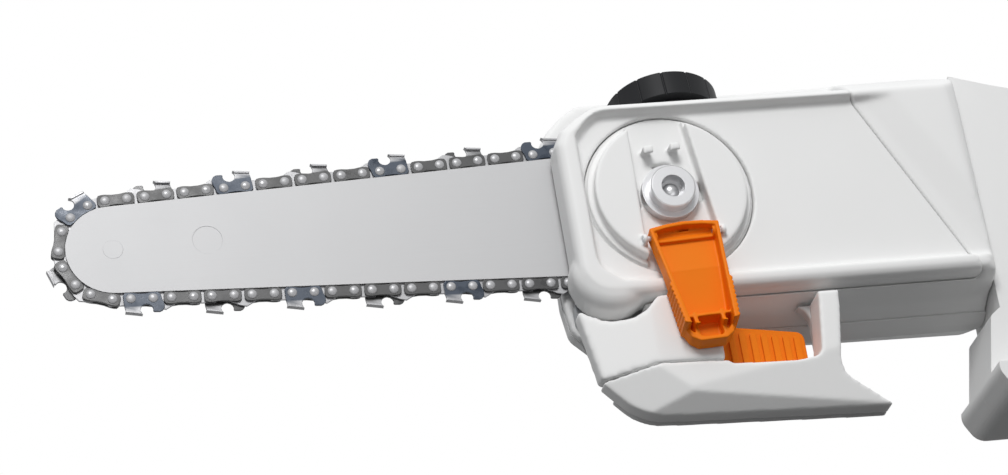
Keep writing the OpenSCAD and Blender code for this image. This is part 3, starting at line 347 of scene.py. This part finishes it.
def keep_piece(name, mesh, node, smooth=True):
    """An object for a mesh that stands for a CAD node, and rides and is finished as it is."""
    piece = put_in_scene(bpy.data.objects.new(name, mesh))
    mesh.materials.clear()
    mesh.materials.append(bpy.data.materials[SLOT_OF[node]])
    for face in mesh.polygons:
        face.use_smooth = smooth
    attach(piece, BODY_OF[node])
    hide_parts(node)
    return piece


# how coarse each moulding's rounding grid is, in steps of the panel's one
SOFT_NODES = {
    "sprocket_cover": 1.0, "housing_near": 1.3, "guard_near": 0.9, "guard_far": 0.9,
    "lock_knob": 0.7, "lock_lever": 0.42,
}


class CHAINSAW_OT_mouldings(bpy.types.Operator):
    """Rounds the edges of the moulded shells, knob and lever as a mould does"""
    bl_idname = "chainsaw.mouldings"
    bl_label = "Mouldings"

    def execute(self, context):
        shell = context.scene.chainsaw_shell
        for node, coarse in SOFT_NODES.items():
            source = NODES[node]
            mesh = source.data.copy()
            work = bmesh.new()
            work.from_mesh(mesh)
            bmesh.ops.remove_doubles(work, verts=work.verts, dist=1e-6)
            work.to_mesh(mesh)
            work.free()
            piece = keep_piece(node + "_moulded", mesh, node)
            even = piece.modifiers.new("Even grid", "REMESH")
            even.mode = "VOXEL"
            even.voxel_size = shell.voxel * coarse
            even.use_smooth_shade = True
            soft = piece.modifiers.new("Soft edges", "SMOOTH")
            soft.iterations = shell.passes
            graph = context.evaluated_depsgraph_get()
            done = bpy.data.meshes.new_from_object(piece.evaluated_get(graph))
            piece.modifiers.clear()
            piece.data = done
            for face in done.polygons:
                face.use_smooth = True
        return {"FINISHED"}


SPRINGS = {
    # node: (start of its axis in mm, axis, length in mm, coil radius in mm, turns)
    "guard_spring": ((47.1, -4.2, -91), "X", 12.8, 1.8, 7),
    "trigger_spring": ((223, 9, -0.4), "Z", 24.1, 2.3, 9),
    "lockout_spring": ((202, 9, 23.9), "Z", 8.0, 2.7, 4),
    "latch_spring": ((316, 9, 8.1), "Z", 5.3, 2.7, 3),
}


class CHAINSAW_OT_springs(bpy.types.Operator):
    """Winds the coil springs of the release, trigger, lockout and battery latch"""
    bl_idname = "chainsaw.springs"
    bl_label = "Springs"

    def execute(self, context):
        values = context.scene.chainsaw_springs
        for node, (start, axis, length, radius, turns) in SPRINGS.items():
            work = bmesh.new()
            bmesh.ops.create_circle(
                work, cap_ends=False, radius=values.wire, segments=8,
                matrix=Matrix.Translation((radius * MM, 0, values.wire)) @ UPRIGHT)
            rise = length * MM - 2 * values.wire
            steps = turns * values.steps
            bmesh.ops.spin(
                work, geom=work.edges[:], cent=(0, 0, 0), axis=(0, 0, 1), dvec=(0, 0, rise / steps),
                angle=2 * math.pi * turns, steps=steps, use_merge=False)
            bmesh.ops.holes_fill(work, edges=[e for e in work.edges if e.is_boundary], sides=0)
            if axis == "X":
                bmesh.ops.rotate(work, verts=work.verts, matrix=Matrix.Rotation(math.pi / 2, 3, "Y"))
            bmesh.ops.translate(work, verts=work.verts, vec=in_frame(*start))
            bmesh.ops.recalc_face_normals(work, faces=work.faces)
            keep_piece(node + "_coil", finished_mesh(work, node + "_coil"), node)
        return {"FINISHED"}


# ---------------------------------------------------------------- chain


# all in mm
LINK, STRAP, LINKS = 18.64, 10.28, 44  # length of a strap and a drive link, of a strap, their number
NOSE_R, TAIL_R = 25.0, 35.8
DRIVE_X, DRIVE_R = 79.0, 6 * LINK / (2 * math.pi)
ARC_STEPS = 60
PLATE_IN, PLATE_T, DRIVE_HALF = 0.61, 1.1, 0.55  # a plate's inner side and thickness across the chain
NEAR = (-PLATE_IN - PLATE_T, -PLATE_IN)
FAR = (PLATE_IN, PLATE_IN + PLATE_T)
LIP_OUT, LIP_IN = 2.3, 0.7  # how far a cutter's folded top reaches out, and back over the chain
GROUND_FROM = 4.0  # height over the rivets above which a cutter is bright
RIVET_R, RIVET_HEAD_R = 1.6, 2.3
NOSE_RIVET_R, NOSE_RIVET_RIM = 4.7, 0.1


def chain_loop():
    """The rivets' path as points in mm with their distance along it, in the way the chain runs."""
    nose_x = joint_place("nose_spin")[0] / MM - STUD_X
    a = math.degrees(math.asin((TAIL_R - NOSE_R) / -nose_x))
    b = math.degrees(math.asin((TAIL_R - DRIVE_R) / DRIVE_X))
    arcs = ((nose_x, NOSE_R, 90 + a, 270 - a), (0, TAIL_R, 270 - a, 270 + b),
            (DRIVE_X, DRIVE_R, 270 + b, 450 - b), (0, TAIL_R, 90 - b, 90 + a))
    points = []
    for x, r, start, end in arcs:
        for i in range(ARC_STEPS + 1):
            turn = math.radians(start + (end - start) * i / ARC_STEPS)
            points.append(Vector((x + r * math.cos(turn), 0, r * math.sin(turn))))
    points.append(points[0].copy())
    along = [0.0]
    for p, q in zip(points, points[1:]):
        along.append(along[-1] + (q - p).length)
    return points, along


def point_on(loop, s):
    """The point at the distance s along the loop."""
    points, along = loop
    s = s % (LINK * LINKS) * along[-1] / (LINK * LINKS)
    i = max(1, next((k for k, v in enumerate(along) if v >= s), len(along) - 1))
    share = (s - along[i - 1]) / max(along[i] - along[i - 1], 1e-9)
    return points[i - 1].lerp(points[i], share)


def seat(loop, start, span):
    """Matrix that sets a link drawn in mm, X the way it travels and Z outwards, on the loop."""
    a, b = point_on(loop, start), point_on(loop, start + span)
    way = (b - a).normalized()
    out = Vector((way.z, 0, -way.x))
    turn = Matrix((way, Vector((0, 1, 0)), out)).transposed().to_4x4()
    middle = (a + b) / 2
    return Matrix.Translation(in_frame(middle.x, 0, middle.z)) @ turn @ Matrix.Scale(MM, 4)


def prism(work, outline, y0, y1, edge):
    """A plate with bevelled rims, drawn in X and Z."""
    before = set(work.verts)
    face = work.faces.new([work.verts.new((x, y0, z)) for x, z in outline])
    moved = bmesh.ops.extrude_face_region(work, geom=[face])["geom"]
    bmesh.ops.translate(
        work, verts=[v for v in moved if isinstance(v, bmesh.types.BMVert)], vec=(0, y1 - y0, 0))
    new = [v for v in work.verts if v not in before]
    rims = {e for v in new for e in v.link_edges if abs(e.verts[0].co.y - e.verts[1].co.y) < 1e-6}
    bmesh.ops.bevel(
        work, geom=list(rims), offset=edge, segments=2, profile=0.5, affect="EDGES", material=-1)


def many(kinds, name, node, paint=None):
    """Copies links drawn once to all their seats, as one mesh that stands for a CAD node."""
    work = bmesh.new()
    layer = work.verts.layers.float.new("ground")
    for master, seats in kinds:
        source = finished_mesh(master, name + " master")
        for place in seats:
            first = len(work.verts)
            work.from_mesh(source)
            work.verts.ensure_lookup_table()
            new = work.verts[first:]
            for v in new:
                v[layer] = paint(v.co) if paint else 0.0
            bmesh.ops.transform(work, matrix=place, verts=new)
        bpy.data.meshes.remove(source)
    bmesh.ops.recalc_face_normals(work, faces=work.faces)
    return keep_piece(name, finished_mesh(work, name), node, smooth=False)


def plate(outline, ends, edge=0.22):
    """One link plate as a bmesh."""
    work = bmesh.new()
    prism(work, outline, *ends, edge)
    return work


STRAP_SHAPE = (
    (-8.6, -2.0), (-7.6, -3.05), (-4.8, -3.05), (-2.6, -2.6), (0, -2.45), (2.6, -2.6), (4.8, -3.05),
    (7.6, -3.05), (8.6, -2.0), (8.75, 0.4), (8.6, 1.9), (7.9, 2.9), (6.4, 3.2), (4.6, 3.2), (1.8, 2.8),
    (-1.8, 2.8), (-4.6, 3.2), (-6.4, 3.2), (-7.9, 2.9), (-8.6, 1.9), (-8.75, 0.4))
CUTTER_SHAPE = (
    (-8.7, -1.6), (-7.6, -3.05), (-4.8, -3.05), (-2.6, -2.6), (0, -2.4), (2.6, -2.6), (4.8, -3.05),
    (7.6, -3.05), (8.7, -1.8), (9.2, 0.6), (9.9, 2.2), (10.2, 3.8), (9.9, 5.2), (9.1, 6.3), (7.8, 6.9),
    (5.2, 6.8), (4.7, 6.4), (4.8, 5.2), (4.3, 4.1), (3.3, 3.3), (2.0, 2.9), (0.8, 3.1), (-0.3, 3.8),
    (-0.9, 4.8), (-1.0, 5.9), (-0.6, 7.0), (-7.8, 6.3), (-8.3, 4.0))
LIP_SHAPE = ((-0.2, 8.1), (-1.2, 6.9), (-7.9, 6.0), (-8.1, 6.9))


def drive_shape(hump):
    """Outline of a drive link, whose tang runs in the bar's groove; every second one has a hump."""
    top = (5.4, 4.8) if hump else (2.9, 2.9)
    return (
        (-7.08, -1.8), (-4.78, -3.0), (-2.2, -5.7), (-1.2, -8.7), (0.9, -8.7), (3.4, -5.4), (4.78, -3.0),
        (7.08, -1.8), (7.08, 1.6), (5.58, 3.0), (1.5, top[0]), (-1.5, top[1]), (-5.58, 3.0), (-7.08, 1.6))


class CHAINSAW_OT_chain(bpy.types.Operator):
    """Forms the chain's cutters, tie straps, drive links and domed rivets on its loop"""
    bl_idname = "chainsaw.chain"
    bl_label = "Chain"

    def execute(self, context):
        loop = chain_loop()
        start = LINK - STRAP
        outer = [seat(loop, start + j * LINK, STRAP) for j in range(LINKS)]
        self.cutters(-1, NEAR, "cutters_near", outer[0::4])
        self.cutters(1, FAR, "cutters_far", outer[2::4])
        many([(plate(STRAP_SHAPE, NEAR), [m for j, m in enumerate(outer) if j % 4 != 0]),
              (plate(STRAP_SHAPE, FAR), [m for j, m in enumerate(outer) if j % 4 != 2])],
             "strap_plates", "tie_straps")
        drive = [seat(loop, start + j * LINK + STRAP, start) for j in range(LINKS)]
        across = (-DRIVE_HALF, DRIVE_HALF)
        many([(plate(drive_shape(hump), across, 0.15), drive[0 if hump else 1::2])
              for hump in (True, False)], "drive_plates", "drive_links", lambda co: 1.0)
        self.rivets(
            [seat(loop, start + j * LINK + s - 1, 2) for j in range(LINKS) for s in (0, STRAP)])
        self.nose_rivet()
        return {"FINISHED"}

    def cutters(self, side, ends, node, seats):
        """The cutters of one side, whose tops are folded over the chain and ground bright."""
        work = plate(CUTTER_SHAPE, ends, 0.18)
        prism(work, LIP_SHAPE, *sorted((side * LIP_OUT, -side * LIP_IN)), 0.2)
        many([(work, seats)], node + "_formed", node,
             lambda co: min(1.0, max(0.0, (co.z - GROUND_FROM) * 2)) if co.x < 1 else 0.0)

    def rivets(self, seats):
        """Rivets with domed heads on both sides."""
        work = bmesh.new()
        bmesh.ops.create_cone(
            work, cap_ends=True, segments=20, radius1=RIVET_R, radius2=RIVET_R,
            depth=2 * PLATE_IN + 2 * PLATE_T, matrix=UPRIGHT)
        for side in (-1, 1):
            bmesh.ops.create_uvsphere(
                work, u_segments=24, v_segments=12, radius=1.0,
                matrix=Matrix.Translation((0, side * (PLATE_IN + PLATE_T - 0.1), 0))
                @ Matrix.Diagonal((RIVET_HEAD_R, 1.0, RIVET_HEAD_R, 1)) @ UPRIGHT)
        piece = many([(work, seats)], "rivet_heads", "chain_rivets", lambda co: 1.0)
        for face in piece.data.polygons:
            face.use_smooth = True

    def nose_rivet(self):
        """The flush rivet that holds the nose sprocket shows as a fine ring on each side."""
        low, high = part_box("guide_bar")
        work = bmesh.new()
        bmesh.ops.create_cone(
            work, cap_ends=True, segments=72, radius1=NOSE_RIVET_R * MM, radius2=NOSE_RIVET_R * MM,
            depth=high[1] - low[1] + 0.00012,
            matrix=Matrix.Translation(joint_place("nose_spin")) @ UPRIGHT)
        rims = [e for e in work.edges if abs(e.verts[0].co.y - e.verts[1].co.y) < 1e-7]
        bmesh.ops.bevel(
            work, geom=rims, offset=NOSE_RIVET_RIM * MM, segments=2, profile=0.5, affect="EDGES",
            material=-1)
        mesh = finished_mesh(work, "nose_rivet")
        mesh.materials.append(bpy.data.materials["bar_steel"])
        piece = put_in_scene(bpy.data.objects.new("nose_rivet", mesh))
        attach(piece, "bar")


# ---------------------------------------------------------------- studio


CAMERA_RIGHT = (0.9749, -0.1617, -0.1528)
CAMERA_BACK = (-0.2104, -0.8930, -0.3978)
LAMP_TARGET = (-0.2, 0.0, 0.11)
FLOOR_SIZE, FLOOR_GAP = 3.0, 0.0005


def lamp(name, place, target, size, power):
    """A soft area lamp that faces the saw."""
    data = bpy.data.lights.new(name, "AREA")
    data.shape = "DISK"
    data.size = size
    data.energy = power
    piece = put_in_scene(bpy.data.objects.new(name, data))
    piece.location = place
    piece.rotation_euler = (Vector(place) - Vector(target)).to_track_quat("Z", "Y").to_euler()


class CHAINSAW_OT_studio(bpy.types.Operator):
    """Sets the camera, the pale floor, the white room and its lamps"""
    bl_idname = "chainsaw.studio"
    bl_label = "Studio"

    def execute(self, context):
        values = context.scene.chainsaw_studio
        scene = context.scene
        scene.view_settings.view_transform = "Standard"
        camera = put_in_scene(bpy.data.objects.new("camera", bpy.data.cameras.new("camera")))
        right = Vector(CAMERA_RIGHT).normalized()
        back = Vector(CAMERA_BACK).normalized()
        up = back.cross(right).normalized()
        right = up.cross(back)
        turn = Matrix((right, up, back)).transposed().to_4x4()
        camera.matrix_world = Matrix.Translation(values.camera_place) @ turn
        camera.data.sensor_width = 36
        camera.data.lens = values.lens
        camera.data.clip_start = 0.05
        camera.data.clip_end = 50
        scene.camera = camera

        work = bmesh.new()
        bmesh.ops.create_grid(work, x_segments=1, y_segments=1, size=FLOOR_SIZE)
        bmesh.ops.translate(work, verts=work.verts, vec=(0, 0, -FLOOR_GAP))
        mesh = finished_mesh(work, "floor")
        floor = put_in_scene(bpy.data.objects.new("floor", mesh))
        mesh.materials.append(self.floor_material())

        world = bpy.data.worlds.new("Room")
        scene.world = world
        world.use_nodes = True
        tree = world.node_tree
        tree.nodes.clear()
        seen = add(tree, "ShaderNodeLightPath")
        most = add(tree, "ShaderNodeMath", operation="MAXIMUM")
        tree.links.new(seen.outputs["Is Camera Ray"], most.inputs[0])
        tree.links.new(seen.outputs["Is Transmission Ray"], most.inputs[1])
        white = add(tree, "ShaderNodeBackground", Color=(1, 1, 1, 1), Strength=1.0)
        room = add(tree, "ShaderNodeBackground", Color=(0.98, 0.99, 1, 1))
        place = add(tree, "ShaderNodeTexCoord")
        height = add(tree, "ShaderNodeSeparateXYZ")
        shade = add(tree, "ShaderNodeMapRange", interpolation_type="SMOOTHSTEP")
        spans = {"From Min": -0.7, "From Max": 0.9, "To Min": values.below, "To Max": values.above}
        for socket, value in spans.items():
            shade.inputs[socket].default_value = value
        tree.links.new(place.outputs["Generated"], height.inputs[0])
        tree.links.new(height.outputs["Z"], shade.inputs["Value"])
        tree.links.new(shade.outputs[0], room.inputs["Strength"])
        mix = add(tree, "ShaderNodeMixShader")
        out = add(tree, "ShaderNodeOutputWorld")
        tree.links.new(most.outputs[0], mix.inputs[0])
        tree.links.new(room.outputs[0], mix.inputs[1])
        tree.links.new(white.outputs[0], mix.inputs[2])
        tree.links.new(mix.outputs[0], out.inputs["Surface"])

        lamp("key lamp", (-0.5, -1.45, 1.05), LAMP_TARGET, 0.7, values.key)
        lamp("low lamp", (0.1, -1.2, -0.7), LAMP_TARGET, 1.0, values.fill)
        return {"FINISHED"}

    def floor_material(self):
        """Pale floor that keeps the shadow, and that is clear from below and to lamps below it."""
        material = bpy.data.materials.new("Pale floor")
        material.use_nodes = True
        tree = material.node_tree
        tree.nodes.clear()
        seen = add(tree, "ShaderNodeLightPath")
        side = add(tree, "ShaderNodeNewGeometry")
        clear_if = add(tree, "ShaderNodeMath", operation="MAXIMUM")
        tree.links.new(side.outputs["Backfacing"], clear_if.inputs[0])
        unlit = add(tree, "ShaderNodeMath", operation="MAXIMUM")
        tree.links.new(seen.outputs["Is Shadow Ray"], unlit.inputs[0])
        tree.links.new(seen.outputs["Is Diffuse Ray"], unlit.inputs[1])
        tree.links.new(unlit.outputs[0], clear_if.inputs[1])
        pale = add(tree, "ShaderNodeBsdfDiffuse", Color=(0.88, 0.88, 0.88, 1))
        clear = add(tree, "ShaderNodeBsdfTransparent")
        mix = add(tree, "ShaderNodeMixShader")
        out = add(tree, "ShaderNodeOutputMaterial")
        tree.links.new(clear_if.outputs[0], mix.inputs[0])
        tree.links.new(pale.outputs[0], mix.inputs[1])
        tree.links.new(clear.outputs[0], mix.inputs[2])
        tree.links.new(mix.outputs[0], out.inputs["Surface"])
        return material


# ---------------------------------------------------------------- add-on


OPERATORS = (
    CHAINSAW_OT_finishes, CHAINSAW_OT_mouldings, CHAINSAW_OT_springs, CHAINSAW_OT_chain,
    CHAINSAW_OT_studio,
)
SETTINGS = {
    "chainsaw_shell": ShellSettings, "chainsaw_steel": SteelSettings,
    "chainsaw_springs": SpringSettings, "chainsaw_studio": StudioSettings,
}


class CHAINSAW_PT_panel(bpy.types.Panel):
    """Lists the steps and the sizes and colours they use"""
    bl_idname = "CHAINSAW_PT_panel"
    bl_label = "Battery Chainsaw"
    bl_space_type = "VIEW_3D"
    bl_region_type = "UI"
    bl_category = "Chainsaw"

    def draw(self, context):
        for operator in OPERATORS:
            self.layout.operator(operator.bl_idname)
        for name, group in SETTINGS.items():
            box = self.layout.box()
            box.label(text=group.__doc__)
            for key in group.__annotations__:
                box.prop(getattr(context.scene, name), key)


def register():
    for group in SETTINGS.values():
        bpy.utils.register_class(group)
    for name, group in SETTINGS.items():
        setattr(bpy.types.Scene, name, PointerProperty(type=group))
    for operator in OPERATORS:
        bpy.utils.register_class(operator)
    bpy.utils.register_class(CHAINSAW_PT_panel)


def unregister():
    bpy.utils.unregister_class(CHAINSAW_PT_panel)
    for operator in reversed(OPERATORS):
        bpy.utils.unregister_class(operator)
    for name, group in SETTINGS.items():
        delattr(bpy.types.Scene, name)
        bpy.utils.unregister_class(group)


def main():
    register()
    bpy.ops.chainsaw.finishes()
    bpy.ops.chainsaw.mouldings()
    bpy.ops.chainsaw.springs()
    bpy.ops.chainsaw.chain()
    bpy.ops.chainsaw.studio()


if __name__ == "__main__":
    main()
